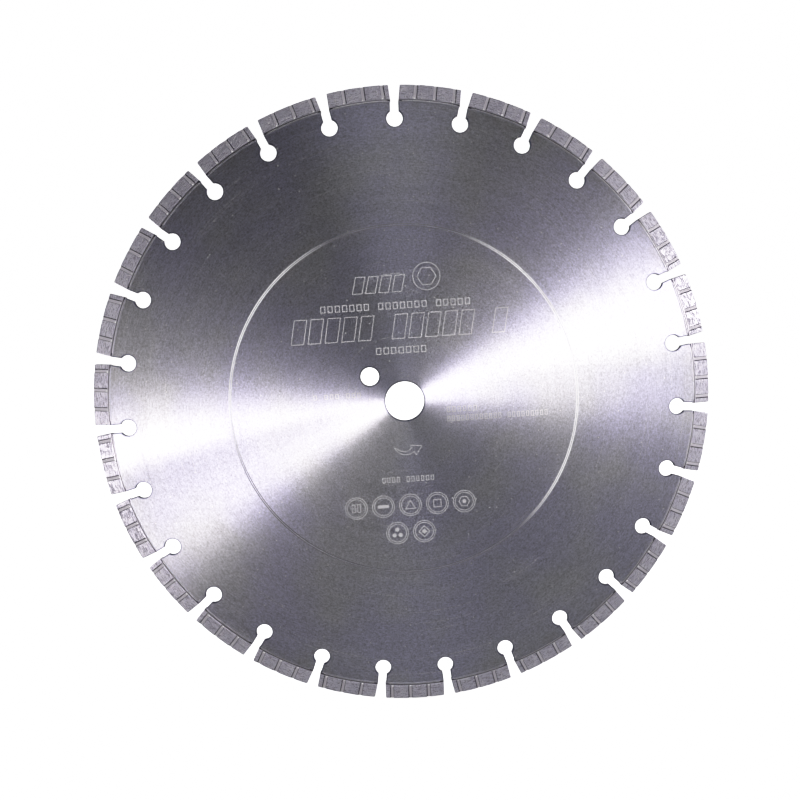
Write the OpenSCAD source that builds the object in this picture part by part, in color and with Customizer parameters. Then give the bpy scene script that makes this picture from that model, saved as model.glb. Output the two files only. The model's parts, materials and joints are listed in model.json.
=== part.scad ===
// Laser-welded segmented diamond blade for masonry and concrete.
//
// Row frame: the origin is the centre of the arbor bore on the blade's mid-plane, the spin
// axis is Y, +Z is up and the marked face looks towards -Y.
// Every module draws in the flat frame of the marked face: x to the right, y up, z out of
// that face. flat_to_row() stands the finished piece up in the row frame.

/* [Blade] */
// Outside diameter across the segments
blade_d = 400; // [390:1:410]
// Number of segments, and of gullets between them
segment_count = 27; // [24:1:28]
// Direction of the first gullet, counter-clockwise from +x
first_gullet_angle = 92.1; // [0:0.1:360]

/* [Steel core] */
// Thickness of the steel core
core_t = 2.6; // [2.2:0.1:2.7]
// Diameter of the arbor bore
bore_d = 25.4; // [20:0.1:30]
// Diameter of the drive pin hole
pin_hole_d = 12; // [8:0.5:14]
// Distance from the arbor axis to the drive pin hole
pin_hole_r = 27.7; // [24:0.1:60]
// Direction of the drive pin hole, counter-clockwise from +x
pin_hole_angle = 145.1; // [0:0.1:360]

/* [Gullets] */
// Width of the parallel slot
slot_w = 5.4; // [3:0.1:6]
// Diameter of the round keyhole that ends the slot
keyhole_d = 10.5; // [8:0.1:12]
// Distance from the core's rim in to the keyhole centre
keyhole_inset = 10.5; // [9:0.5:30]

/* [Tension ring] */
// Radius of the roller track pressed into both faces when the core is tensioned
track_r = 113.1; // [80:0.1:140]
// Width of the roller track
track_w = 1.2; // [0.6:0.1:2]
// Depth of the roller track
track_depth = 0.05; // [0.02:0.01:0.2]

/* [Segments] */
// Radial height of a segment together with its foot
segment_h = 10; // [8:0.5:12]
// Length of a segment between its parallel ends
segment_l = 39.1; // [36:0.1:40]
// Thickness of a segment across its blocks
segment_t = 3.4; // [3.2:0.1:4]
// Shift of every segment clockwise from the middle of its land
segment_shift = 0.25; // [0:0.05:0.5]
// Radial height of the diamond-free foot
foot_h = 1.4; // [1:0.1:2.5]
// Thickness of the diamond-free foot
foot_t = 2.8; // [2.8:0.1:3]

/* [Side grooves] */
// Number of grooves on each face of a segment
groove_count = 3; // [1:1:3]
// Distance between neighbouring grooves on one face
groove_pitch = 12.3; // [10:0.1:12.5]
// Width of a groove at its mouth
groove_mouth_w = 2.8; // [2.4:0.1:3.4]
// Width of a groove at its floor
groove_floor_w = 2; // [1.4:0.1:2.2]
// Depth of a groove
groove_depth = 0.5; // [0.2:0.05:0.7]

/* [Weld] */
// Radial width of a weld bead
bead_w = 1.4; // [1:0.1:1.6]
// Height of a weld bead above the core's face
bead_h = 0.3; // [0.2:0.05:0.4]
// Length left bare at each end of a weld bead
bead_end_gap = 0.3; // [0.1:0.1:1]

/* [Hidden] */
$fn = 180;
// How far a cutting shape runs past what it cuts
overrun = 1;
pitch_angle = 360 / segment_count;
core_r = blade_d / 2 - segment_h;
foot_r = core_r + foot_h;
keyhole_r = core_r - keyhole_inset;
// The land is the strip of rim between two neighbouring slots
land_angle = pitch_angle - 2 * asin(slot_w / 2 / core_r);
bead_angle = land_angle - 2 * asin(bead_end_gap / core_r);
// A bead is the cap of a circle whose chord is bead_w and whose rise is bead_h
bead_circle_r = (bead_w * bead_w / 4 + bead_h * bead_h) / (2 * bead_h);
steel_grey = [0.50, 0.50, 0.54];
matrix_grey = [0.62, 0.60, 0.66];
foot_grey = [0.70, 0.69, 0.73];
weld_grey = [0.82, 0.82, 0.84];

segment_numbers = [1 : segment_count];
function two_digits(i) = str(i < 10 ? "0" : "", i);
function segment_name(i) = str("segment_", two_digits(i));
function foot_name(i) = str("segment_foot_", two_digits(i));
// Segments are numbered clockwise from the first gullet
function segment_angle(i) = first_gullet_angle - (i - 0.5) * pitch_angle;

module flat_to_row() {
    rotate([90, 0, 0]) children();
}

// Puts a piece drawn with its radial direction along +y at segment i's place on the rim
module at_segment(i) {
    flat_to_row() rotate([0, 0, segment_angle(i) - 90]) children();
}

module gullet() {
    translate([keyhole_r, 0, 0])
        cylinder(d = keyhole_d, h = core_t + 2 * overrun, center = true);
    translate([keyhole_r, -slot_w / 2, -core_t / 2 - overrun])
        cube([keyhole_inset + overrun, slot_w, core_t + 2 * overrun]);
}

// One roller track, sunk into the face at z = core_t / 2
module roller_track() {
    rotate_extrude()
        translate([track_r - track_w / 2, core_t / 2 - track_depth])
            square([track_w, track_depth + overrun]);
}

module steel_core() {
    color(steel_grey)
        flat_to_row()
            difference() {
                cylinder(r = core_r, h = core_t, center = true);
                cylinder(d = bore_d, h = core_t + 2 * overrun, center = true);
                rotate([0, 0, pin_hole_angle])
                    translate([pin_hole_r, 0, 0])
                        cylinder(d = pin_hole_d, h = core_t + 2 * overrun, center = true);
                for (i = segment_numbers)
                    rotate([0, 0, segment_angle(i) + pitch_angle / 2]) gullet();
                roller_track();
                mirror([0, 0, 1]) roller_track();
            }
}

// Curved bar between two radii, cut to the segment's parallel ends
module rim_bar(inner_r, outer_r, thickness) {
    intersection() {
        difference() {
            cylinder(r = outer_r, h = thickness, center = true);
            cylinder(r = inner_r, h = thickness + 2 * overrun, center = true);
        }
        translate([segment_shift - segment_l / 2, 0, -thickness / 2 - overrun])
            cube([segment_l, outer_r + overrun, thickness + 2 * overrun]);
    }
}

// Radial groove with sloped walls, sunk into the face at z = segment_t / 2
module side_groove() {
    wall_slope = (groove_mouth_w - groove_floor_w) / 2 / groove_depth;
    open_w = groove_mouth_w + 2 * overrun * wall_slope;
    translate([0, blade_d / 2 + overrun, segment_t / 2 - groove_depth])
        rotate([90, 0, 0])
            linear_extrude(segment_h + 3 * overrun)
                polygon([
                    [-groove_floor_w / 2, 0],
                    [groove_floor_w / 2, 0],
                    [open_w / 2, groove_depth + overrun],
                    [-open_w / 2, groove_depth + overrun]
                ]);
}

// The grooves of one face sit a quarter pitch off centre, so that the two faces' grooves
// stagger once the row is turned round for the back face
module groove_row() {
    for (k = [0 : groove_count - 1])
        translate([(k - (groove_count - 1) / 2 + 0.25) * groove_pitch, 0, 0])
            side_groove();
}

// Diamond-bearing layer
module segment(i) {
    color(matrix_grey)
        at_segment(i)
            difference() {
                rim_bar(foot_r, blade_d / 2, segment_t);
                translate([segment_shift, 0, 0]) {
                    groove_row();
                    rotate([0, 180, 0]) groove_row();
                }
            }
}

// Diamond-free layer that is welded to the core
module segment_foot(i) {
    color(foot_grey) at_segment(i) rim_bar(core_r, foot_r, foot_t);
}

// Cross-section of a bead in the corner between the core's face and the foot
module bead_profile() {
    difference() {
        translate([core_r, core_t / 2 + bead_h - bead_circle_r])
            circle(r = bead_circle_r, $fn = 48);
        translate([core_r - 2 * bead_circle_r, core_t / 2 - 3 * bead_circle_r])
            square([4 * bead_circle_r, 3 * bead_circle_r]);
        translate([core_r, 0])
            square([2 * bead_circle_r, foot_t / 2]);
    }
}

// One bead along each land of the marked face
module weld_beads() {
    for (i = segment_numbers)
        rotate([0, 0, segment_angle(i) - bead_angle / 2])
            rotate_extrude(angle = bead_angle) bead_profile();
}

module weld_beads_front() {
    color(weld_grey) flat_to_row() weld_beads();
}

module weld_beads_back() {
    color(weld_grey) flat_to_row() mirror([0, 0, 1]) weld_beads();
}

steel_core();
for (i = segment_numbers) {
    segment(i);
    segment_foot(i);
}
weld_beads_front();
weld_beads_back();
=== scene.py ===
"""Looks of a laser-welded segmented diamond blade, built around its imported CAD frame.

Every piece is drawn in the flat frame of the marked face, in metres: x to the right, y up, z out
of the face. stand() turns that into the row frame, where the arbor axis is Y and the marked face
looks towards -Y.
"""

import json
import math
import random

import bpy
import numpy as np
from mathutils import Matrix, Vector, geometry, noise


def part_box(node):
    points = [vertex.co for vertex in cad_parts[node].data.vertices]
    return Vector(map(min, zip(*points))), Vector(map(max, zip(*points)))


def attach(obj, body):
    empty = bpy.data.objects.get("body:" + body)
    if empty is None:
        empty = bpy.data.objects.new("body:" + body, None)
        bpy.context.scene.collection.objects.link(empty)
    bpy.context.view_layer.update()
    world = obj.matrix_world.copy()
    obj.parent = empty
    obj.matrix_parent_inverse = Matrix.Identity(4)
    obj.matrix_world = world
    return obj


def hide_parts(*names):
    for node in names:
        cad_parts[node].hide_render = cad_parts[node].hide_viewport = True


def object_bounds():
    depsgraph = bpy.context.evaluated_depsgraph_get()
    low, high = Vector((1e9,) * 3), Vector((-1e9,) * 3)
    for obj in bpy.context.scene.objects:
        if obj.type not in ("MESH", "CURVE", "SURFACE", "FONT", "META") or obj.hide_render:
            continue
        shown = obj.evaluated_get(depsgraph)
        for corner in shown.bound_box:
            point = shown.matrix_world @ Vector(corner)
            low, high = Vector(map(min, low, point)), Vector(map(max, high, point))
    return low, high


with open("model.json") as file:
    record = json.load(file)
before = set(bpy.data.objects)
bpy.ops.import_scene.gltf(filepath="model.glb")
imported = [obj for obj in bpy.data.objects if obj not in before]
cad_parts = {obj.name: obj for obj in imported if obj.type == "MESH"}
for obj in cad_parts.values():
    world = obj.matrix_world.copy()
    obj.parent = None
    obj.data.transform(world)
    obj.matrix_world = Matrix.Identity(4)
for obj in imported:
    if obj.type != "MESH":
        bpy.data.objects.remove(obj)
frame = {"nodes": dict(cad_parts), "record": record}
CAD_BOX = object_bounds()

# Unseeded, mathutils takes the offsets of its vector noise from the clock
noise.seed_set(5)

# ---------------------------------------------------------------- sizes read from the frame

MM = 0.001


def node_points(node):
    """Vertices of a CAD node, as an array."""
    return np.array([v.co for v in frame["nodes"][node].data.vertices])


def reach(node):
    """Smallest and largest distance of a CAD node from the arbor axis."""
    points = node_points(node)
    distance = np.hypot(points[:, 0], points[:, 2])
    return distance.min(), distance.max()


def thickness(node):
    low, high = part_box(node)
    return high.y - low.y


mounts = {mount["name"]: mount for mount in frame["record"]["mounts"]}
FOOT_NODES = sorted(name for name in frame["nodes"] if name.startswith("segment_foot_"))
SEGMENT_NODES = [name.replace("_foot", "") for name in FOOT_NODES]
SEGMENT_COUNT = len(SEGMENT_NODES)
PITCH = 2 * math.pi / SEGMENT_COUNT

CORE_R = reach("steel_core")[1]
CORE_T = thickness("steel_core")
FOOT_R, BLADE_R = reach(SEGMENT_NODES[0])
SEGMENT_T = thickness(SEGMENT_NODES[0])
FOOT_T = thickness(FOOT_NODES[0])
BEAD_RISE = thickness("weld_beads_front")
BORE_R = mounts["arbor_bore"]["dims"]["r_mm"] * MM
PIN_R = mounts["drive_pin_hole"]["dims"]["r_mm"] * MM
PIN_X, _, PIN_Y = mounts["drive_pin_hole"]["pos_m"]

# ---------------------------------------------------------------- sizes that the frame doesn't state

FIRST_GULLET = math.radians(92.1)
SLOT_W = 5.4 * MM
KEYHOLE_R = 5.25 * MM
KEYHOLE_INSET = 10.5 * MM
TRACK_R = 113.1 * MM
TRACK_W = 1.2 * MM
TRACK_DEPTH = 0.05 * MM
SEGMENT_L = 39.1 * MM
SEGMENT_SHIFT = 0.25 * MM
GROOVE_PITCH = 12.3 * MM
GROOVE_COUNT = 3
GROOVE_MOUTH = 2.8 * MM
GROOVE_FLOOR = 2.0 * MM
GROOVE_DEPTH = 0.5 * MM
BEAD_W = 1.4 * MM

# ---------------------------------------------------------------- small finish sizes

RIM_CHAMFER = 0.28 * MM
BORE_CHAMFER = 0.4 * MM
PIN_CHAMFER = 0.5 * MM
TRACK_SLOPE = 0.60 * MM
TRACK_LIP = 0.25 * MM
MARK_DEPTH = 0.02 * MM
PRINT_TURN = math.radians(3.7)


def stand(points):
    """Flat-frame points as row-frame points."""
    points = np.asarray(points, float)
    return np.stack([points[:, 0], -points[:, 2], points[:, 1]], axis=1)


def turn(points, angle):
    """Flat-frame points turned counter-clockwise about the arbor axis."""
    c, s = math.cos(angle), math.sin(angle)
    points = np.asarray(points, float)
    turned = points.copy()
    turned[:, 0] = c * points[:, 0] - s * points[:, 1]
    turned[:, 1] = s * points[:, 0] + c * points[:, 1]
    return turned


def segment_angle(number):
    """Direction of the middle of a land. Segments count from 1, clockwise from the first gullet."""
    return FIRST_GULLET - (number - 0.5) * PITCH


def make_piece(name, points, faces, materials, kinds=None, flat_kinds=(), sharp_degrees=28):
    """A mesh piece from flat-frame points, smooth but for its sharper edges and the faces of flat
    kinds. kinds holds the number of each face's material."""
    kinds = np.zeros(len(faces), np.int32) if kinds is None else np.asarray(kinds, np.int32)
    mesh = bpy.data.meshes.new(name)
    mesh.from_pydata(stand(points).tolist(), [], [list(face) for face in faces])
    for material in materials:
        mesh.materials.append(material)
    mesh.polygons.foreach_set("material_index", kinds)
    mesh.set_sharp_from_angle(angle=math.radians(sharp_degrees))
    mesh.polygons.foreach_set("use_smooth", ~np.isin(kinds, flat_kinds))
    mesh.update()
    piece = bpy.data.objects.new(name, mesh)
    bpy.context.scene.collection.objects.link(piece)
    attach(piece, "root")
    return piece


# ---------------------------------------------------------------- materials

def rgb(red, green, blue):
    return (red, green, blue, 1.0)


# Colour of the painted shadows: in the side grooves, on the feet beside the weld and on the weld beads'
# outer side.
SHADOW = rgb(0.04, 0.035, 0.07)


class Tree:
    """Short calls for building one node tree. Every call returns an output socket."""

    def __init__(self, tree):
        self.tree = tree
        tree.nodes.clear()

    def node(self, kind, inputs=None, output=0, **settings):
        made = self.tree.nodes.new(kind)
        for name, value in settings.items():
            setattr(made, name, value)
        for key, value in (inputs or {}).items():
            if isinstance(value, bpy.types.NodeSocket):
                self.tree.links.new(value, made.inputs[key])
            else:
                made.inputs[key].default_value = value
        return made.outputs[output]

    def math(self, operation, *values):
        return self.node("ShaderNodeMath", dict(enumerate(values)), operation=operation)

    def vector(self, operation, *values, output=0):
        inputs = dict(enumerate(values))
        return self.node("ShaderNodeVectorMath", inputs, output, operation=operation)

    def noise(self, place, scale, detail=2.0, roughness=0.5):
        inputs = {"Vector": place, "Scale": scale, "Detail": detail, "Roughness": roughness}
        return self.node("ShaderNodeTexNoise", inputs)

    def remap(self, value, low, high, to_low=0.0, to_high=1.0, smooth=False):
        inputs = {"Value": value, "From Min": low, "From Max": high, "To Min": to_low, "To Max": to_high}
        kind = "SMOOTHSTEP" if smooth else "LINEAR"
        return self.node("ShaderNodeMapRange", inputs, interpolation_type=kind)

    def mix(self, factor, first, second):
        inputs = {0: factor, 6: first, 7: second}
        return self.node("ShaderNodeMix", inputs, 2, data_type="RGBA")

    def bump(self, height, distance):
        inputs = {"Height": height, "Distance": distance, "Strength": 1.0}
        return self.node("ShaderNodeBump", inputs)

    def nearest(self, value, period):
        """How far a value lies from the nearest multiple of a period, below it or above it."""
        return self.math("WRAP", value, period / 2, -period / 2)


class Metal(Tree):
    """A metal's node tree, with the places its patterns need, all in millimetres."""

    def __init__(self, name):
        self.material = bpy.data.materials.new(name)
        self.material.use_nodes = True
        super().__init__(self.material.node_tree)
        place = self.node("ShaderNodeTexCoord", output="Object")
        self.place = self.scaled(place, 1 / MM)
        x, y, z = self.node("ShaderNodeSeparateXYZ", {0: self.place}).node.outputs
        self.flat = self.node("ShaderNodeCombineXYZ", {0: x, 1: z})
        self.bearing = self.math("ARCTAN2", z, x)
        across = self.node("ShaderNodeCombineXYZ", {0: x, 2: z})
        self.radius = self.vector("LENGTH", across, output="Value")
        self.outward = self.vector("NORMALIZE", across)
        self.depth = self.math("ABSOLUTE", y)
        self.face = self.math("SIGN", self.math("MULTIPLY", y, -1.0))

    def scaled(self, vector, factor):
        return self.node("ShaderNodeVectorMath", {0: vector, "Scale": factor}, operation="SCALE")

    def around(self, along, across):
        """A place whose pattern is drawn out round the arbor axis: along repeats a radian, across
        repeats a mm."""
        ring = self.scaled(self.outward, along)
        outward = self.math("MULTIPLY", self.radius, across)
        return self.vector("ADD", ring, self.node("ShaderNodeCombineXYZ", {1: outward}))

    def spread(self, value, size):
        """A noise value, which stays near a half, as a change between -size and size."""
        return self.remap(value, 0.25, 0.75, -size, size)

    def specks(self, cell, size, share):
        """1 in small round spots: a share of the cells, each so many mm wide, holds one of about
        the given size."""
        inputs = {"Vector": self.flat, "Scale": 1 / cell}
        cells = self.node("ShaderNodeTexVoronoi", inputs, voronoi_dimensions="2D").node
        near = self.remap(cells.outputs["Distance"], size / cell, 0.4 * size / cell)
        chance = self.node("ShaderNodeSeparateColor", {0: cells.outputs["Color"]})
        return self.math("MULTIPLY", near, self.math("LESS_THAN", chance, share))

    def cut_band(self):
        """Up to 1 beside the laser-cut gullets and the holes, where the steel is tinted by heat."""
        beside = self.nearest(self.math("SUBTRACT", self.bearing, FIRST_GULLET), PITCH)
        across = self.math("ABSOLUTE", self.math("MULTIPLY", self.math("SINE", beside), self.radius))
        along = self.math("MULTIPLY", self.math("COSINE", beside), self.radius)
        beyond = self.math("SUBTRACT", along, (CORE_R - KEYHOLE_INSET) / MM)
        from_centre = self.node("ShaderNodeCombineXYZ", {0: across, 1: beyond})
        keyhole = self.math("SUBTRACT", self.vector("LENGTH", from_centre, output="Value"), KEYHOLE_R / MM)
        slot = self.math("SUBTRACT", across, SLOT_W / 2 / MM)
        slot = self.math("ADD", slot, self.remap(beyond, 1.0, 0.0, 0.0, 5.0))
        pin = self.vector("DISTANCE", self.flat, (PIN_X / MM, PIN_Y / MM, 0.0), output="Value")
        pin = self.math("SUBTRACT", pin, (PIN_R + PIN_CHAMFER - RIM_CHAMFER) / MM)
        bore = self.math("SUBTRACT", self.radius, (BORE_R + BORE_CHAMFER - RIM_CHAMFER) / MM)
        gullet = self.math("MINIMUM", keyhole, slot)
        hole = self.math("MINIMUM", pin, bore)
        off_cut = self.math("MINIMUM", gullet, hole)
        return self.remap(off_cut, RIM_CHAMFER / MM + 0.65, RIM_CHAMFER / MM + 0.25)

    def off_groove(self):
        """How far clockwise a point lies from the middle of the nearest side groove."""
        off_land = self.nearest(self.math("SUBTRACT", FIRST_GULLET - PITCH / 2, self.bearing), PITCH)
        clockwise = self.math("MULTIPLY", self.math("SINE", off_land), self.radius)
        clockwise = self.math("SUBTRACT", clockwise, SEGMENT_SHIFT / MM)
        off_first = self.math("MULTIPLY", clockwise, self.face)
        off_first = self.math("SUBTRACT", off_first, GROOVE_PITCH / 4 / MM)
        return self.math("MULTIPLY", self.nearest(off_first, GROOVE_PITCH / MM), self.face)

    def groove_shade(self, floor):
        """1 on the clockwise wall of every side groove and on the floor beside it, less on the
        other wall. The groove floors lie at the given depth."""
        facing = self.node("ShaderNodeNewGeometry", output="True Normal")
        backwards = self.vector("CROSS_PRODUCT", self.outward, (0.0, 1.0, 0.0))
        slope = self.vector("DOT_PRODUCT", facing, backwards, output="Value")
        wall = self.remap(slope, 0.35, 0.55)
        wall = self.math("MAXIMUM", wall, self.remap(slope, -0.35, -0.55, 0.0, 0.6))
        off_groove = self.off_groove()
        beside = self.remap(off_groove, 0.62, 0.74)
        beside = self.math("MULTIPLY", beside, self.remap(self.depth, floor + 0.15, floor + 0.05))
        inside = self.remap(self.math("ABSOLUTE", off_groove), 1.8, 1.6)
        inside = self.math("MULTIPLY", inside, self.remap(self.depth, floor - 0.1, floor))
        return self.math("MULTIPLY", self.math("MAXIMUM", wall, beside), inside)

    def finish(self, color, roughness, normal, **inputs):
        surface = {"Base Color": color, "Roughness": roughness, "Normal": normal, "Metallic": 1.0}
        surface.update(inputs)
        output = self.tree.nodes.new("ShaderNodeOutputMaterial")
        self.tree.links.new(self.node("ShaderNodeBsdfPrincipled", surface), output.inputs["Surface"])
        return self.material


def brushed_steel():
    """Core faces, ground round the arbor axis, which draws every highlight out along the radius."""
    metal = Metal("brushed_steel")
    dashes = metal.noise(metal.around(60.0, 1.2), 1.0, 2.0, 0.6)
    bands = metal.noise(metal.around(1.5, 0.2), 1.0, 2.0)
    grain = metal.noise(metal.place, 1.1, 2.0, 0.75)
    stain = metal.noise(metal.place, 0.015, 2.0)
    level = metal.math("ADD", metal.spread(dashes, 0.22), metal.spread(bands, 0.05))
    level = metal.math("ADD", level, metal.spread(grain, 0.32))
    # Painted sheen: the steel's colour is made up to a quarter lighter towards the bore, standing in for
    # the brighter reflection round the middle of the blade.
    level = metal.math("ADD", level, metal.remap(metal.radius, 20.0, 60.0, 1.24, 1.0))
    violet, plain = rgb(0.575, 0.565, 0.735), rgb(0.595, 0.595, 0.665)
    color = metal.scaled(metal.mix(metal.remap(stain, 0.42, 0.62), violet, plain), level)
    rim = metal.remap(metal.radius, CORE_R / MM - 9, CORE_R / MM, smooth=True)
    heat = metal.remap(metal.noise(metal.place, 0.09, 2.0), 0.42, 0.62)
    heat = metal.math("MULTIPLY", rim, metal.math("MULTIPLY", heat, 0.25))
    color = metal.mix(heat, color, rgb(0.42, 0.40, 0.36))
    color = metal.mix(metal.cut_band(), color, rgb(0.31, 0.31, 0.45))
    scratches = metal.remap(metal.noise(metal.around(2.5, 2.4), 1.0, 0.0), 0.77, 0.80)
    scratches = metal.math("MULTIPLY", scratches, metal.remap(grain, 0.40, 0.60))
    faint_specks = metal.math("MULTIPLY", metal.specks(5.0, 0.45, 0.3), 0.35)
    worn = metal.math("MAXIMUM", metal.specks(14.0, 0.6, 0.4), faint_specks)
    worn = metal.math("MAXIMUM", worn, scratches)
    color = metal.mix(worn, color, rgb(0.95, 0.94, 0.97))
    roughness = metal.math("ADD", 0.276, metal.math("MULTIPLY", worn, 0.45))
    drawn = metal.math("SUBTRACT", 1.0, metal.math("MULTIPLY", worn, 0.8))
    drag = metal.math("MULTIPLY", dashes, metal.remap(metal.radius, 0.0, CORE_R / MM, 0.0, 1.2))
    height = metal.math("ADD", drag, metal.math("MULTIPLY", grain, 0.5))
    normal = metal.bump(height, 0.031 * MM)
    return metal.finish(color, roughness, normal, Anisotropic=drawn, Tangent=metal.outward)


def cut_edge():
    """Cut walls of the slots and holes, and their broken edges: dark, striated across the blade."""
    metal = Metal("cut_edge")
    stretched = metal.vector("MULTIPLY", metal.place, (3.5, 0.3, 3.5))
    striations = metal.noise(stretched, 1.0, 3.0)
    oxide = metal.noise(metal.place, 0.25, 2.0)
    color = metal.mix(metal.remap(oxide, 0.35, 0.7), rgb(0.06, 0.06, 0.11), rgb(0.11, 0.10, 0.14))
    roughness = metal.remap(striations, 0.3, 0.7, 0.38, 0.52)
    return metal.finish(color, roughness, metal.bump(striations, 0.03 * MM))


def rolled_track():
    """The tensioning roller's track: its colour painted bright on two sides of the blade and dark on the
    others, a painted highlight for the light its slopes catch there.
    """
    metal = Metal("rolled_track")
    patchiness = metal.noise(metal.around(6.0, 0.2), 1.0, 3.0, 0.6)
    painted_sheen = 0.0
    # Painted highlight: the track's colour turns bright round these two bearings and dark away from them.
    for middle, dull, bright in ((12.0, 62.0, 35.0), (162.0, 48.0, 12.0)):
        off = metal.math("COSINE", metal.math("SUBTRACT", metal.bearing, math.radians(middle)))
        low, high = math.cos(math.radians(dull)), math.cos(math.radians(bright))
        side = metal.remap(off, low, high, smooth=True)
        painted_sheen = metal.math("MAXIMUM", painted_sheen, side)
    painted_sheen = metal.math("MULTIPLY", painted_sheen, metal.remap(patchiness, 0.30, 0.50, 0.75, 1.0))
    color = metal.mix(painted_sheen, rgb(0.11, 0.105, 0.125), rgb(0.92, 0.91, 0.94))
    roughness = metal.remap(patchiness, 0.35, 0.65, 0.36, 0.46)
    grain = metal.noise(metal.place, 2.0)
    return metal.finish(color, roughness, metal.bump(grain, 0.01 * MM), Metallic=0.1)


def etched_mark():
    """Electro-etched lines: lighter and rougher than the steel, so they stay bright further round
    its highlights."""
    metal = Metal("etched_mark")
    grain = metal.noise(metal.place, 2.2, 2.0, 0.7)
    fade = metal.noise(metal.place, 0.06, 2.0)
    color = metal.mix(metal.remap(fade, 0.35, 0.65), rgb(0.74, 0.73, 0.78), rgb(0.92, 0.91, 0.95))
    roughness = metal.remap(grain, 0.3, 0.7, 0.38, 0.46)
    normal = metal.bump(grain, 0.02 * MM)
    return metal.finish(color, roughness, normal, Metallic=0.72, Anisotropic=0.6, Tangent=metal.outward)


def sintered_matrix():
    """Diamond layer: blocks ground round the rim but pitted, as-pressed groove floors, and
    shadowed groove walls."""
    metal = Metal("sintered_matrix")
    drag = metal.noise(metal.around(65.0, 1.8), 1.0, 3.0, 0.65)
    grain = metal.noise(metal.place, 1.7, 3.0, 0.7)
    patch = metal.noise(metal.place, 0.16, 2.0)
    surface = SEGMENT_T / MM / 2
    floor = surface - GROOVE_DEPTH / MM
    ground = metal.remap(metal.depth, floor + 0.1, surface - 0.15, smooth=True)
    pits = metal.math("ADD", metal.spread(grain, 0.5), metal.spread(drag, 0.9))
    pits = metal.remap(pits, 0.0, 0.35)
    block = metal.mix(metal.remap(patch, 0.35, 0.65), rgb(0.71, 0.69, 0.83), rgb(0.82, 0.80, 0.92))
    block = metal.mix(metal.math("MULTIPLY", pits, 0.78), block, rgb(0.26, 0.23, 0.33))
    color = metal.mix(ground, rgb(0.78, 0.75, 0.84), block)
    color = metal.mix(metal.specks(2.6, 0.4, 0.15), color, rgb(0.97, 0.95, 0.98))
    color = metal.mix(metal.groove_shade(floor), color, SHADOW)
    smooth = metal.math("MULTIPLY", ground, metal.math("SUBTRACT", 1.0, pits))
    roughness = metal.remap(smooth, 0.0, 1.0, 0.43, 0.285)
    drawn = metal.remap(smooth, 0.0, 1.0, 0.4, 0.75)
    height = metal.math("SUBTRACT", drag, metal.math("MULTIPLY", pits, 0.5))
    normal = metal.bump(height, 0.10 * MM)
    return metal.finish(color, roughness, normal, Anisotropic=drawn, Tangent=metal.outward, Metallic=0.95)


def diamond_grit():
    """Crystals standing out of the diamond layer: pale, glassy and bright."""
    metal = Metal("diamond_grit")
    hue = metal.noise(metal.place, 1.7, 1.0)
    color = metal.mix(metal.remap(hue, 0.35, 0.65), rgb(0.93, 0.92, 0.88), rgb(0.99, 0.98, 0.99))
    roughness = metal.remap(hue, 0.3, 0.7, 0.12, 0.25)
    return metal.finish(color, roughness, metal.bump(hue, 0.01 * MM), Metallic=0.15)


def sintered_foot():
    """Diamond-free layer under the blocks, smoother and lighter, with a painted shadow line beside the
    weld.
    """
    metal = Metal("sintered_foot")
    grain = metal.noise(metal.around(90.0, 2.0), 1.0, 3.0, 0.6)
    heat = metal.noise(metal.place, 0.5, 2.0)
    color = metal.mix(metal.remap(heat, 0.45, 0.70), rgb(0.82, 0.80, 0.89), rgb(0.68, 0.65, 0.75))
    # Painted shadow: a dark line on the foot just beyond the weld, where the step from the core up to the
    # foot falls in shade.
    step_shadow = metal.remap(metal.radius, CORE_R / MM + 0.95, CORE_R / MM + 0.8, 0.0, 0.95)
    color = metal.mix(step_shadow, color, SHADOW)
    roughness = metal.remap(grain, 0.3, 0.7, 0.27, 0.33)
    normal = metal.bump(grain, 0.02 * MM)
    return metal.finish(color, roughness, normal, Anisotropic=0.8, Tangent=metal.outward)


def weld_metal():
    """Laser weld beads: like the core, but with a painted highlight along the crown and a painted shadow
    on the outer side, next to the foot.
    """
    metal = Metal("weld_metal")
    heat = metal.noise(metal.place, 0.35, 2.0)
    grain = metal.noise(metal.place, 1.8, 2.0, 0.7)
    off_joint = metal.math("SUBTRACT", metal.radius, CORE_R / MM)
    # Painted highlight: a pale line along the bead's crown, which is also rougher and less drawn out.
    crown_highlight = metal.remap(metal.math("ABSOLUTE", metal.math("SUBTRACT", off_joint, 0.2)), 0.28, 0.14)
    crown_highlight = metal.math("MULTIPLY", crown_highlight, metal.remap(grain, 0.35, 0.5))
    # Painted shadow: the bead's outer side, next to the foot, is made dark.
    outer = metal.remap(off_joint, 0.38, 0.53, 0.0, 0.9)
    color = metal.mix(metal.remap(heat, 0.42, 0.66), rgb(0.58, 0.57, 0.70), rgb(0.50, 0.49, 0.56))
    color = metal.mix(crown_highlight, color, rgb(0.96, 0.94, 0.98))
    color = metal.mix(outer, color, SHADOW)
    roughness = metal.remap(crown_highlight, 0.0, 1.0, 0.28, 0.40)
    drawn = metal.remap(crown_highlight, 0.0, 1.0, 1.0, 0.5)
    normal = metal.bump(grain, 0.01 * MM)
    return metal.finish(color, roughness, normal, Anisotropic=drawn, Tangent=metal.outward)


def bright_drop():
    """Drops at the ends of the side grooves and weld spatter on the core: matte, their colour painted near
    white for the glints such drops catch.
    """
    metal = Metal("bright_drop")
    grain = metal.noise(metal.place, 2.5, 1.0)
    color = metal.mix(metal.remap(grain, 0.4, 0.6), rgb(0.93, 0.92, 0.95), rgb(0.99, 0.98, 1.0))
    roughness = metal.remap(grain, 0.3, 0.7, 0.30, 0.42)
    return metal.finish(color, roughness, metal.bump(grain, 0.01 * MM), Metallic=0.1)


# ---------------------------------------------------------------- outlines of the core

def circle(radius, count, center=(0.0, 0.0), clockwise=False):
    direction = -1 if clockwise else 1
    angles = direction * 2 * math.pi * np.arange(count) / count
    return np.stack([center[0] + radius * np.cos(angles), center[1] + radius * np.sin(angles)], axis=1)


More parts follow.
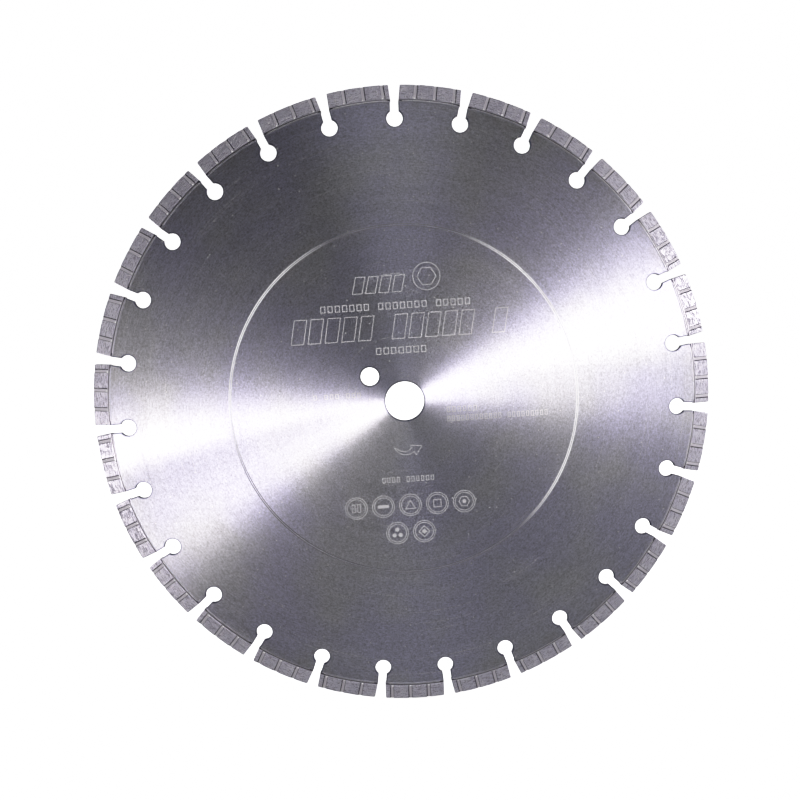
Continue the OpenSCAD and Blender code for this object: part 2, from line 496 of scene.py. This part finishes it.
def polar(radius, angles):
    """2-D points at one radius, or one radius each, and the given angles."""
    return np.stack([radius * np.cos(angles), radius * np.sin(angles)], axis=1)


def flat_turn(points, angle):
    """2-D points turned counter-clockwise about the origin."""
    return turn(np.column_stack([points, np.zeros(len(points))]), angle)[:, :2]


def gullet_outline():
    """One gullet opening along +x, from its clockwise side round the keyhole to its other side."""
    half = SLOT_W / 2
    centre = CORE_R - KEYHOLE_INSET
    start = math.asin(half / KEYHOLE_R)
    angles = np.linspace(-start, start - 2 * math.pi, 57)
    keyhole = polar(KEYHOLE_R, angles) + (centre, 0.0)
    mouth = math.sqrt(CORE_R**2 - half**2)
    walls = np.linspace(mouth, keyhole[0, 0], 5)[:-1]
    near = np.column_stack([walls, np.full(4, -half)])
    far = np.column_stack([walls[::-1], np.full(4, half)])
    return np.concatenate([near, keyhole, far])


def core_outline():
    """Rim of the core with all its gullets, counter-clockwise."""
    half_slot = math.asin(SLOT_W / 2 / CORE_R)
    parts = []
    for k in range(SEGMENT_COUNT):
        angle = FIRST_GULLET + k * PITCH
        parts.append(flat_turn(gullet_outline(), angle))
        land = np.linspace(angle + half_slot, angle + PITCH - half_slot, 30)[1:-1]
        parts.append(polar(CORE_R, land))
    return np.concatenate(parts)


def inset(loop, distance):
    """The loop moved to its left by distance, with mitred corners."""
    ahead = np.roll(loop, -1, axis=0) - loop
    ahead /= np.linalg.norm(ahead, axis=1, keepdims=True)
    left_after = np.column_stack([-ahead[:, 1], ahead[:, 0]])
    left_before = np.roll(left_after, 1, axis=0)
    total = left_before + left_after
    share = 1 + (left_before * left_after).sum(axis=1, keepdims=True)
    return loop + distance * total / share


# ---------------------------------------------------------------- marks on the front face
# Plain bars, rings and an arrow stand where the maker's lettering and symbols would be.

def bar(x, y, width, height, slant=0.0):
    """Bar with its lower left corner at x, y, leaning right by slant times its height."""
    lean = slant * height
    return np.array([(x, y), (x + width, y), (x + width + lean, y + height), (x + lean, y + height)])


def outlined(loop, line):
    """The two loops that bound a line drawn just inside a loop."""
    return [loop, inset(loop, line)]


def bar_row(x, y, width, height, words, slant=0.0, line=0.45 * MM, gap=0.22):
    """A row of outlined bars over width, in groups of the given sizes with room for a bar between."""
    cell = width / (sum(words) + len(words) - 1)
    loops = []
    for group in words:
        for _ in range(group):
            loops += outlined(bar(x, y, cell * (1 - gap), height, slant), line)
            x += cell
        x += cell
    return loops


def ring(x, y, radius, line):
    return outlined(circle(radius, 56, (x, y)), line)


def regular(x, y, radius, sides, lean=0.0):
    return flat_turn(circle(radius, sides), lean) + (x, y)


def symbol_fills(x, y):
    """Seven plain fills, one for each ringed symbol."""
    quarter = math.pi / 2
    line = 0.5 * MM
    return [
        outlined(bar(x - 3.0 * MM, y - 2.8 * MM, 2.4 * MM, 5.6 * MM), line)
        + outlined(bar(x + 0.6 * MM, y - 2.8 * MM, 2.4 * MM, 5.6 * MM), line),
        [bar(x - 3.6 * MM, y - 1.1 * MM, 7.2 * MM, 2.2 * MM)],
        outlined(regular(x, y - 0.6 * MM, 4.2 * MM, 3, quarter), line),
        outlined(regular(x, y, 3.8 * MM, 4, quarter / 2), line),
        outlined(regular(x, y, 3.8 * MM, 6), line) + [regular(x, y, 1.5 * MM, 6)],
        [regular(x, y + 2.3 * MM, 1.4 * MM, 12), regular(x - 2.0 * MM, y - 1.4 * MM, 1.4 * MM, 12),
         regular(x + 2.0 * MM, y - 1.4 * MM, 1.4 * MM, 12)],
        outlined(regular(x, y, 4.0 * MM, 4), line) + [regular(x, y, 1.8 * MM, 4)],
    ]


def symbols():
    """Double-ringed plain symbols in two rows below the bore."""
    spacing = 17.8 * MM
    rows = [(5, -0.7 * MM, -68.7 * MM), (2, -1.5 * MM, -86.9 * MM)]
    places = [(x + (k - (count - 1) / 2) * spacing, y) for count, x, y in rows for k in range(count)]
    loops = []
    for number, (x, y) in enumerate(places):
        loops += ring(x, y, 7.4 * MM, 0.4 * MM) + ring(x, y, 6.1 * MM, 0.4 * MM)
        loops += symbol_fills(x, y)[number]
    return loops


def rotation_arrow():
    """Outlined curved arrow below the bore with a tapering tail, pointing to the right."""
    outer, thickness = 8.5 * MM, 3.2 * MM
    tail, neck = math.radians(-155), math.radians(-52)
    turns = np.linspace(tail, neck, 14)
    taper = np.sqrt(np.linspace(0.12, 1.0, 14))
    loop = np.concatenate([
        polar(outer, turns),
        polar(outer + 2.8 * MM, [neck - math.radians(4)]),
        polar(outer + 2.7 * MM, [neck + math.radians(37)]),
        polar(outer - thickness - 1.8 * MM, [neck + math.radians(16)]),
        polar(outer - thickness * taper[::-1], turns[::-1]),
    ])
    return outlined(loop + (-1.2 * MM, -27.0 * MM), 0.4 * MM)


def emblem():
    """Plain emblem: a ring round a hexagon."""
    x, y = 19.0 * MM, 79.5 * MM
    return ring(x, y, 9.0 * MM, 0.45 * MM) + outlined(regular(x, y, 6.4 * MM, 6), 0.45 * MM)


def mark_loops():
    """Outlines of every mark, turned as a whole against the blade's upright. A place inside an odd
    number of them is etched."""
    loops = bar_row(-29.5 * MM, 70.5 * MM, 34 * MM, 11 * MM, (4,), slant=0.25)
    loops += emblem()
    loops += bar_row(-50.5 * MM, 59.8 * MM, 98 * MM, 4.4 * MM, (7, 7, 5), line=0.55 * MM, gap=0.3)
    loops += bar_row(-71 * MM, 40.5 * MM, 141 * MM, 16 * MM, (5, 5, 1), slant=0.2)
    loops += bar_row(-16.5 * MM, 31.0 * MM, 34 * MM, 4.4 * MM, (7,), line=0.55 * MM, gap=0.3)
    loops += bar_row(-59 * MM, 4.2 * MM, 32 * MM, 3.2 * MM, (1, 3, 3), gap=0.38)
    loops += bar_row(27 * MM, -9.2 * MM, 21 * MM, 3.6 * MM, (6,), gap=0.38)
    loops += bar_row(27 * MM, -15.2 * MM, 67 * MM, 3.6 * MM, (12, 9), gap=0.38)
    loops += bar_row(-18 * MM, -53.2 * MM, 35 * MM, 3.6 * MM, (4, 6), gap=0.38)
    loops += rotation_arrow()
    loops += symbols()
    return [flat_turn(loop, PRINT_TURN) for loop in loops]


# ---------------------------------------------------------------- core

FACE, EDGE, TRACK, MARK, SPATTER = range(5)


class Sheet:
    """Points, triangles and materials of one face of the core, and the points of each edge loop."""

    def __init__(self, edge_loops, marks):
        half_track = TRACK_W / 2 + TRACK_LIP
        track_radii = (TRACK_R - half_track, TRACK_R - half_track + TRACK_SLOPE,
                       TRACK_R + half_track - TRACK_SLOPE, TRACK_R + half_track)
        track = [circle(radius, 480) for radius in track_radii]
        loops = edge_loops + track + marks
        starts = np.cumsum([0] + [len(loop) for loop in loops])
        flat = [Vector(point) for point in np.concatenate(loops) / MM]
        outlines = [list(range(starts[k], starts[k + 1])) for k in range(len(loops))]
        holes = range(1, len(edge_loops))
        anticlockwise = [outline[::-1] if k in holes else outline for k, outline in enumerate(outlines)]
        same_place = 1e-6
        mesh = geometry.delaunay_2d_cdt(flat, [], anticlockwise, 0, same_place)
        corners, _, triangles, sources, _, owners = mesh
        self.points = np.array([(c.x * MM, c.y * MM, CORE_T / 2) for c in corners])
        place_of = {source: k for k, merged in enumerate(sources) for source in merged}
        self.edges = [[place_of[source] for source in outline] for outline in outlines[:len(edge_loops)]]
        floor = len(edge_loops) + 1
        for outline in outlines[floor:floor + 2]:
            self.points[[place_of[source] for source in outline], 2] -= TRACK_DEPTH
        self.triangles = []
        self.kinds = []
        self.sort_triangles(triangles, owners, len(edge_loops))
        self.sink_marks()

    def sort_triangles(self, triangles, owners, edge_count):
        """Keeps the triangles on the steel and says what each one is."""
        first_track, first_mark = edge_count, edge_count + 4
        for triangle, owner in zip(triangles, owners):
            inside = set(owner)
            if 0 not in inside or inside & set(range(1, edge_count)):
                continue
            on_track = len([loop for loop in inside if first_track <= loop < first_mark]) in (1, 3)
            etched = sum(1 for loop in inside if loop >= first_mark) % 2 == 1
            self.triangles.append(tuple(triangle))
            self.kinds.append(MARK if etched else TRACK if on_track else FACE)

    def sink_marks(self):
        """Lowers the etched triangles a little and walls them in."""
        etched = [k for k, kind in enumerate(self.kinds) if kind == MARK]
        used = sorted({corner for k in etched for corner in self.triangles[k]})
        if not used:
            return
        lowered = {corner: len(self.points) + n for n, corner in enumerate(used)}
        floor = self.points[used] - (0.0, 0.0, MARK_DEPTH)
        self.points = np.concatenate([self.points, floor])
        sides = {(t[n], t[(n + 1) % 3]) for t in (self.triangles[k] for k in etched) for n in range(3)}
        for k in etched:
            self.triangles[k] = tuple(lowered[corner] for corner in self.triangles[k])
        for a, b in sorted(sides):
            if (b, a) not in sides:
                self.triangles.append((a, b, lowered[b], lowered[a]))
                self.kinds.append(MARK)


def crystal(centre, size, draw):
    """A small blunt octahedral crystal, turned at random."""
    axis = Vector([draw.uniform(-1, 1) for _ in range(3)])
    spin = Matrix.Rotation(draw.uniform(0, math.pi), 3, axis)
    corners = []
    for direction in range(3):
        for sign in (1, -1):
            corner = Vector((0.0, 0.0, 0.0))
            corner[direction] = sign * size * draw.uniform(0.8, 1.15)
            corners.append(tuple(Vector(centre) + spin @ corner))
    faces = [(0, 2, 4), (2, 1, 4), (1, 3, 4), (3, 0, 4), (2, 0, 5), (1, 2, 5), (3, 1, 5), (0, 3, 5)]
    return corners, faces


def spatter(height, count):
    """Tiny specks of weld spatter stuck to one face of the core, at the given height, painted bright for
    their glints.
    """
    draw = random.Random(21 if height > 0 else 22)
    specks = []
    for _ in range(count):
        radius = CORE_R * math.sqrt(draw.uniform(0.06, 0.82))
        angle = draw.uniform(0, 2 * math.pi)
        size = (0.12 + 0.30 * draw.random() ** 2.5) * MM
        specks.append(crystal((radius * math.cos(angle), radius * math.sin(angle), height), size, draw))
    return specks


def build_core(materials):
    """Steel core: two faces, broken edges, and the walls of the rim, bore and pin hole."""
    bore = circle(BORE_R, 160, clockwise=True)
    pin_hole = circle(PIN_R, 96, (PIN_X, PIN_Y), clockwise=True)
    full = [core_outline(), bore, pin_hole]
    breaks = [RIM_CHAMFER, BORE_CHAMFER, PIN_CHAMFER]
    face_loops = [inset(loop, size) for loop, size in zip(full, breaks)]
    front = Sheet(face_loops, mark_loops())
    back = Sheet(face_loops, [])
    count = len(front.points)
    points = [front.points, back.points * (1, 1, -1)]
    faces = list(front.triangles) + [tuple(count + c for c in t[::-1]) for t in back.triangles]
    kinds = front.kinds + back.kinds
    total = count + len(back.points)
    for loop, size, front_edge, back_edge in zip(full, breaks, front.edges, back.edges):
        height = CORE_T / 2 - size
        n = len(loop)
        points += [np.column_stack([loop, np.full(n, level)]) for level in (height, -height)]
        upper_edge, lower_edge = range(total, total + n), range(total + n, total + 2 * n)
        levels = [front_edge, upper_edge, lower_edge, [count + c for c in back_edge]]
        total += 2 * n
        for upper, lower in zip(levels, levels[1:]):
            for k in range(n):
                after = (k + 1) % n
                faces.append((upper[k], lower[k], lower[after], upper[after]))
                kinds.append(EDGE)
    for height in (CORE_T / 2, -CORE_T / 2):
        for corners, sides in spatter(height, 130):
            faces += [tuple(total + corner for corner in side) for side in sides]
            kinds += [SPATTER] * len(sides)
            points.append(corners)
            total += len(corners)
    flat_kinds = (FACE, TRACK, MARK, SPATTER)
    core = make_piece("brushed_core", np.concatenate(points), faces, materials, kinds, flat_kinds)
    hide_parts("steel_core")


# ---------------------------------------------------------------- segments and feet

def rounding(distance, radius):
    """How far a surface falls away at a distance from an edge rounded to radius."""
    near = np.clip(1 - distance / radius, 0, 1)
    return radius * (1 - np.sqrt(1 - near**2))


def stations(length, step, ends):
    """Places along a length: even steps, and closer ones inside each end for the rounding."""
    inner = np.linspace(ends, length - ends, max(2, round((length - 2 * ends) / step)))
    near = ends * np.array([0.0, 0.15, 0.45])
    return np.concatenate([near, inner, length - near[::-1]])


def groove_centres(face):
    """Groove places along a segment: face 1 is the marked face, face -1 is the back."""
    middle = (GROOVE_COUNT - 1) / 2
    return [face * (k - middle + 0.25) * GROOVE_PITCH for k in range(GROOVE_COUNT)]


def groove_depth(x, face):
    """Depth of the side grooves at places x from the segment's middle."""
    depth = np.zeros_like(x)
    for centre in groove_centres(face):
        share = (GROOVE_MOUTH / 2 - np.abs(x - centre)) / (GROOVE_MOUTH / 2 - GROOVE_FLOOR / 2)
        depth = np.maximum(depth, GROOVE_DEPTH * np.clip(share, 0, 1))
    return depth


def roughen(points, size, amount, seed):
    """Moves points by smooth noise of a grain size."""
    shift = Vector((13.1 * seed, 7.7 * seed, 3.3 * seed))
    offsets = [noise.turbulence_vector(Vector(p) / size + shift, 2, False) for p in points]
    return points + amount * (np.array(offsets) - 0.5)


def bar_stations(grooved, step, edge_r):
    """Places along a segment from end to end, with one at every groove edge."""
    x = stations(SEGMENT_L, step, edge_r) - SEGMENT_L / 2
    if not grooved:
        return x
    edges = [centre + side * width / 2 for face in (1, -1) for centre in groove_centres(face)
             for side in (-1, 1) for width in (GROOVE_FLOOR, GROOVE_MOUTH)]
    edges = [edge for edge in edges if abs(edge) < SEGMENT_L / 2]
    return np.unique(np.round(np.concatenate([x, edges]), 6))


def worn_rim(x, outer_r, corner_r, waviness, seed):
    """Radius of the outer side at places x, a little uneven and with two different corners."""
    draw = random.Random(seed)
    worn = np.where(x < 0, corner_r * draw.uniform(0.5, 1.6), corner_r * draw.uniform(0.5, 1.6))
    wave = np.array([noise.noise(Vector((place / (4 * MM), seed, 0.0))) for place in x])
    return outer_r - rounding(SEGMENT_L / 2 - np.abs(x), worn) + waviness * (wave - 0.5)


def bar_solid(inner_r, outer_r, thick, grooved, step, edge_r, corner_r, waviness, seed):
    """Curved bar between two radii with parallel ends, in a segment's own frame: x clockwise along
    the rim, y along the radius, z out of the marked face. Returns points and quads."""
    x = bar_stations(grooved, step, edge_r)
    height = outer_r - inner_r
    v = stations(height, step, edge_r)
    outer = worn_rim(x, outer_r, corner_r, waviness, seed)
    radius = inner_r + v[None, :] / height * (outer[:, None] - inner_r)
    across = np.broadcast_to((x + SEGMENT_SHIFT)[:, None], radius.shape)
    along = np.sqrt(radius**2 - across**2)
    end_fall = rounding(SEGMENT_L / 2 - np.abs(x), edge_r)
    rim_fall = rounding(np.minimum(v, height - v), edge_r)
    fall = np.maximum(end_fall[:, None], rim_fall[None, :])
    sides = []
    for face in (1, -1):
        level = thick / 2 - fall
        if grooved:
            level = level - groove_depth(x, face)[:, None]
        sides.append(np.stack([across, along, face * level], axis=-1).reshape(-1, 3))
    return close_bar(sides, len(x), len(v), max(2, round(thick / step)))


def close_bar(sides, columns, rows, layers):
    """Points and quads of a bar from its two sides, each a grid of points, with layers of quads
    round the edge."""
    grid = np.arange(columns * rows).reshape(columns, rows)
    rim = np.concatenate([grid[:, 0], grid[-1, 1:], grid[-2::-1, -1], grid[0, -2:0:-1]])
    points = list(sides)
    levels = [rim]
    for k in range(1, layers):
        share = k / layers
        points.append(sides[0][rim] * (1 - share) + sides[1][rim] * share)
        levels.append(2 * columns * rows + (k - 1) * len(rim) + np.arange(len(rim)))
    levels.append(rim + columns * rows)
    quads = []
    for i in range(columns - 1):
        for j in range(rows - 1):
            corners = (grid[i, j], grid[i + 1, j], grid[i + 1, j + 1], grid[i, j + 1])
            quads.append(corners)
            quads.append(tuple(corner + columns * rows for corner in corners[::-1]))
    for upper, lower in zip(levels, levels[1:]):
        for k in range(len(rim)):
            after = (k + 1) % len(rim)
            quads.append((upper[k], lower[k], lower[after], upper[after]))
    return np.concatenate(points), quads


class Scatter:
    """Small crystals collected into one list of points and faces."""

    def __init__(self, seed):
        self.draw = random.Random(seed)
        self.points, self.faces = [], []

    def add(self, x, radius, level, size):
        """Puts a crystal at x along the segment, at a radius and at a level off the mid-plane."""
        across = x + SEGMENT_SHIFT
        corners, sides = crystal((across, math.sqrt(radius**2 - across**2), level), size, self.draw)
        self.faces += [tuple(len(self.points) + corner for corner in side) for side in sides]
        self.points += corners


def grit(seed, per_face, on_rim):
    """Diamond crystals over both faces and the rim of a segment, each sunk more than half way in."""
    stones = Scatter(seed)
    draw = stones.draw
    margin = 0.5 * MM
    reach_x = SEGMENT_L / 2 - margin
    for face in (1, -1):
        for _ in range(per_face):
            x = draw.uniform(-reach_x, reach_x)
            size = (0.14 + 0.32 * draw.random() ** 4) * MM
            level = SEGMENT_T / 2 - float(groove_depth(np.array([x]), face)[0]) - 0.45 * size
            stones.add(x, draw.uniform(FOOT_R + margin, BLADE_R - margin), face * level, size)
    for _ in range(on_rim):
        size = draw.uniform(0.14, 0.24) * MM
        depth = draw.uniform(-0.5, 0.5) * (SEGMENT_T - 2 * GROOVE_DEPTH - margin)
        stones.add(draw.uniform(-reach_x, reach_x), BLADE_R - 0.55 * size, depth, size)
    return stones


def run_outs(seed):
    """Drops of metal where the side grooves run out over the foot, painted bright for their glints."""
    drops = Scatter(seed)
    for face in (1, -1):
        for centre in groove_centres(face):
            size = drops.draw.uniform(0.50, 0.75) * MM
            x = centre - face * drops.draw.uniform(0.2, 0.9) * MM
            drops.add(x, FOOT_R + 0.5 * size, face * (SEGMENT_T / 2 - GROOVE_DEPTH), size)
    return drops


MATRIX, GRIT, DROP = range(3)


def build_segment(number, materials):
    """Diamond layer of one segment with its crystals and drops."""
    seed = 100 + number
    points, faces = bar_solid(
        FOOT_R, BLADE_R, SEGMENT_T, grooved=True, step=0.5 * MM, edge_r=0.18 * MM,
        corner_r=0.6 * MM, waviness=0.08 * MM, seed=seed,
    )
    points = roughen(points, 0.9 * MM, 0.035 * MM, number)
    kinds = [MATRIX] * len(faces)
    for kind, extra in ((GRIT, grit(seed, per_face=60, on_rim=24)), (DROP, run_outs(seed))):
        faces += [tuple(len(points) + corner for corner in face) for face in extra.faces]
        kinds += [kind] * len(extra.faces)
        points = np.concatenate([points, extra.points])
    points = turn(points, segment_angle(number) - math.pi / 2)
    name = f"sintered_segment_{number:02d}"
    piece = make_piece(name, points, faces, materials, kinds, (GRIT, DROP), sharp_degrees=40)
    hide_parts(SEGMENT_NODES[number - 1])


def build_foot(number, materials):
    """Diamond-free foot of one segment."""
    points, faces = bar_solid(
        CORE_R, FOOT_R, FOOT_T, grooved=False, step=0.5 * MM, edge_r=0.08 * MM,
        corner_r=0.05 * MM, waviness=0.0, seed=300 + number,
    )
    points = turn(points, segment_angle(number) - math.pi / 2)
    piece = make_piece(f"sintered_foot_{number:02d}", points, faces, materials)
    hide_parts(FOOT_NODES[number - 1])


# ---------------------------------------------------------------- weld beads

def bead(angle, draw):
    """One rippled bead along a land of the marked face: points and faces in the flat frame."""
    end_gap, sink, pulse = 0.3 * MM, 0.05 * MM, 0.62 * MM
    steps, sides = 150, 9
    half_angle = PITCH / 2 - math.asin((SLOT_W / 2 + end_gap) / CORE_R)
    phase = draw.uniform(0, 1)
    points = []
    for k in range(steps + 1):
        share = k / steps
        place = angle + half_angle * (1 - 2 * share)
        distance = 2 * half_angle * CORE_R * share
        ripple = (distance / pulse + phase) % 1
        taper = min(1.0, 6 * share + 0.25, 6 * (1 - share) + 0.25)
        uneven = noise.noise(Vector((distance / (2.2 * MM), 9.0 * angle, 0.0)))
        rise = (BEAD_RISE + sink) * taper * (0.72 + 0.22 * ripple**0.5 + 0.18 * uneven)
        half_width = BEAD_W / 2 * (0.88 + 0.10 * ripple + 0.12 * uneven)
        for n in range(sides):
            turn_by = math.pi * n / (sides - 1)
            radius = CORE_R - half_width * math.cos(turn_by)
            lag = ripple_lag(turn_by, pulse) / CORE_R
            level = CORE_T / 2 - sink + rise * math.sin(turn_by)
            points.append((radius * math.cos(place - lag), radius * math.sin(place - lag), level))
    return np.array(points), tube_faces(steps, sides)


def tube_faces(steps, sides):
    """Quads along a tube of steps + 1 rings with sides points each, and its two ends."""
    faces = []
    for k in range(steps):
        for n in range(sides):
            after = (n + 1) % sides
            a, b = k * sides + n, k * sides + after
            faces.append((a, b, b + sides, a + sides))
    faces.append(tuple(range(sides))[::-1])
    faces.append(tuple(range(steps * sides, (steps + 1) * sides)))
    return faces


def ripple_lag(turn_by, pulse):
    """How far a ripple trails at the bead's crown, which curves its scales."""
    return 0.8 * pulse * math.sin(turn_by) ** 2


def build_beads(name, node, face, material):
    """All beads of one face."""
    draw = random.Random(11 if face > 0 else 12)
    points, faces = [], []
    total = 0
    for number in range(1, SEGMENT_COUNT + 1):
        bead_points, bead_faces = bead(segment_angle(number), draw)
        if face < 0:
            bead_points = bead_points * (1, 1, -1)
            bead_faces = [f[::-1] for f in bead_faces]
        points.append(bead_points)
        faces += [tuple(total + corner for corner in f) for f in bead_faces]
        total += len(bead_points)
    piece = make_piece(name, np.concatenate(points), faces, [material], sharp_degrees=50)
    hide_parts(node)


# ---------------------------------------------------------------- floor, light and camera

# Radiance of the background as the camera sees it, and as matte surfaces do
WHITE = 1.7
SOFT_LIGHT = 1.4
FLOOR_GLOW = 0.8
FLOOR_GAP = 0.5 * MM
STRIP_COLOR = (1.06, 1.0, 0.96)
STRIP_DISTANCE = 1.2


def build_floor():
    """Plain pale floor just under the blade's rim. It isn't seen in the polished steel."""
    size = 6.0
    level = CAD_BOX[0].z - FLOOR_GAP
    corners = [(-size, -size, level), (size, -size, level), (size, size, level), (-size, size, level)]
    mesh = bpy.data.meshes.new("studio_floor")
    mesh.from_pydata(corners, [], [(0, 1, 2, 3)])
    material = bpy.data.materials.new("studio_floor")
    material.use_nodes = True
    tree = Tree(material.node_tree)
    diffuse = tree.node("ShaderNodeBsdfDiffuse", {"Color": rgb(0.9, 0.9, 0.9)})
    seen = tree.node("ShaderNodeLightPath", output="Is Camera Ray")
    glow = tree.node("ShaderNodeEmission", {"Strength": tree.math("MULTIPLY", seen, FLOOR_GLOW)})
    output = tree.tree.nodes.new("ShaderNodeOutputMaterial")
    surface = tree.node("ShaderNodeAddShader", {0: diffuse, 1: glow})
    tree.tree.links.new(surface, output.inputs["Surface"])
    mesh.materials.append(material)
    floor = bpy.data.objects.new("studio_floor", mesh)
    bpy.context.scene.collection.objects.link(floor)
    floor.visible_glossy = False


def outwards(bearing, off_axis, face=1):
    """Direction at a bearing round the arbor axis and an angle from it, both in degrees, in the
    row frame. face is 1 before the marked face and -1 behind the blade."""
    psi, theta = math.radians(bearing), math.radians(off_axis)
    side = math.sin(theta)
    return Vector((side * math.cos(psi), -face * math.cos(theta), side * math.sin(psi)))


def strip_light(name, bearing, off_axis, width, length, radiance, face):
    """Softbox strip aimed at the blade's middle. Its length lies in the plane of its bearing and
    the arbor axis."""
    light = bpy.data.lights.new(name, "AREA")
    light.shape = "RECTANGLE"
    light.size = width
    light.size_y = length
    light.energy = radiance * math.pi * width * length
    light.color = STRIP_COLOR
    lamp = bpy.data.objects.new(name, light)
    away = outwards(bearing, off_axis, face)
    sideways = outwards(bearing + 90, 90)
    turned = Matrix((sideways, away.cross(sideways), away)).transposed()
    lamp.matrix_world = Matrix.Translation(STRIP_DISTANCE * away) @ turned.to_4x4()
    lamp.visible_camera = False
    bpy.context.scene.collection.objects.link(lamp)


def build_lights():
    """The same strips before the blade and behind it, each with its bearing, angle off the arbor
    axis, width, length and radiance."""
    for face, side in ((1, "front"), (-1, "back")):
        strip_light(f"{side}_strip_right", 11.2, 29.9, 0.165, 0.551, 4.7, face)
        strip_light(f"{side}_strip_low_right", -11.0, 13.4, 0.05, 0.391, 7.2, face)
        strip_light(f"{side}_strip_left", 197.0, 40.8, 0.064, 1.20, 8.6, face)
        strip_light(f"{side}_strip_low_left", 227.0, 13.1, 0.051, 0.347, 8.3, face)
        strip_light(f"{side}_strip_mid_left", 214.9, 28.4, 0.198, 0.292, 2.8, face)


# Bearing, angle off the arbor axis, spread (degrees) and radiance of the studio's soft panels.
PANELS = [
    (12.8, 63.4, 26.9, 3.1),
    (90.1, 60.4, 19.9, 2.45),
    (315.6, 40.0, 60.0, 0.28),
    (173.7, 75.0, 30.6, 1.2),
]


def build_world():
    """White to the camera. The metal sees a dark studio with soft panels, the same before the
    blade and behind it."""
    world = bpy.data.worlds.new("studio")
    world.use_nodes = True
    bpy.context.scene.world = world
    world.cycles.sampling_method = "NONE"
    tree = Tree(world.node_tree)
    direction = tree.node("ShaderNodeSeparateXYZ", {0: tree.node("ShaderNodeTexCoord")}).node.outputs
    front = tree.math("MULTIPLY", tree.math("ABSOLUTE", direction["Y"]), -1.0)
    mirrored = tree.node("ShaderNodeCombineXYZ", {0: direction["X"], 1: front, 2: direction["Z"]})
    studio = 0.0
    for bearing, off_axis, spread, radiance in PANELS:
        near = tree.vector("DOT_PRODUCT", mirrored, outwards(bearing, off_axis), output="Value")
        panel = tree.remap(near, math.cos(math.radians(spread)), 1.0, 0.0, radiance, smooth=True)
        studio = tree.math("ADD", studio, panel)
    path = tree.node("ShaderNodeLightPath").node.outputs
    strength = tree.node("ShaderNodeMix", {0: path["Is Camera Ray"], 2: SOFT_LIGHT, 3: WHITE})
    strength = tree.node("ShaderNodeMix", {0: path["Is Glossy Ray"], 2: strength, 3: studio})
    output = tree.tree.nodes.new("ShaderNodeOutputWorld")
    background = tree.node("ShaderNodeBackground", {"Strength": strength})
    tree.tree.links.new(background, output.inputs["Surface"])


def build_camera():
    """35 mm lens half a metre in front of the marked face, a little left of the bore and above it,
    aimed at the bore."""
    left, distance, above = 0.0184, 0.5032, 0.0414
    aim = Vector((0.0302, 0.9963, -0.0807))
    camera_data = bpy.data.cameras.new("camera")
    camera_data.sensor_width = 36.0
    camera_data.lens = 34.95
    camera = bpy.data.objects.new("camera", camera_data)
    camera.location = (-left, -CORE_T / 2 - distance, above)
    camera.rotation_mode = "QUATERNION"
    camera.rotation_quaternion = aim.to_track_quat("-Z", "Y")
    bpy.context.scene.collection.objects.link(camera)
    bpy.context.scene.camera = camera


def set_tone():
    """Standard colours with a soft shoulder, so that bright steel keeps its grain."""
    view = bpy.context.scene.view_settings
    view.view_transform = "Standard"
    view.use_curve_mapping = True
    mapping = view.curve_mapping
    knee, white = 0.6, 1.4
    mapping.white_level = (white, white, white)
    mapping.extend = "HORIZONTAL"
    curve = mapping.curves[3]
    curve.points[-1].location = (1.0, 1.0)
    for level in (0.2, 0.4, 0.6, 0.75, 0.9, 1.05, 1.2, 1.3):
        bend = max(0.0, level - knee)
        curve.points.new(level / white, level - bend**2 / (2 * (white - knee)))
    mapping.update()


drop_material = bright_drop()
build_core([brushed_steel(), cut_edge(), rolled_track(), etched_mark(), drop_material])
segment_materials = [sintered_matrix(), diamond_grit(), drop_material]
foot_materials = [sintered_foot()]
for number in range(1, SEGMENT_COUNT + 1):
    build_segment(number, segment_materials)
    build_foot(number, foot_materials)
bead_material = weld_metal()
build_beads("laser_weld_front", "weld_beads_front", 1, bead_material)
build_beads("laser_weld_back", "weld_beads_back", -1, bead_material)

build_floor()
build_lights()
build_world()
build_camera()
set_tone()
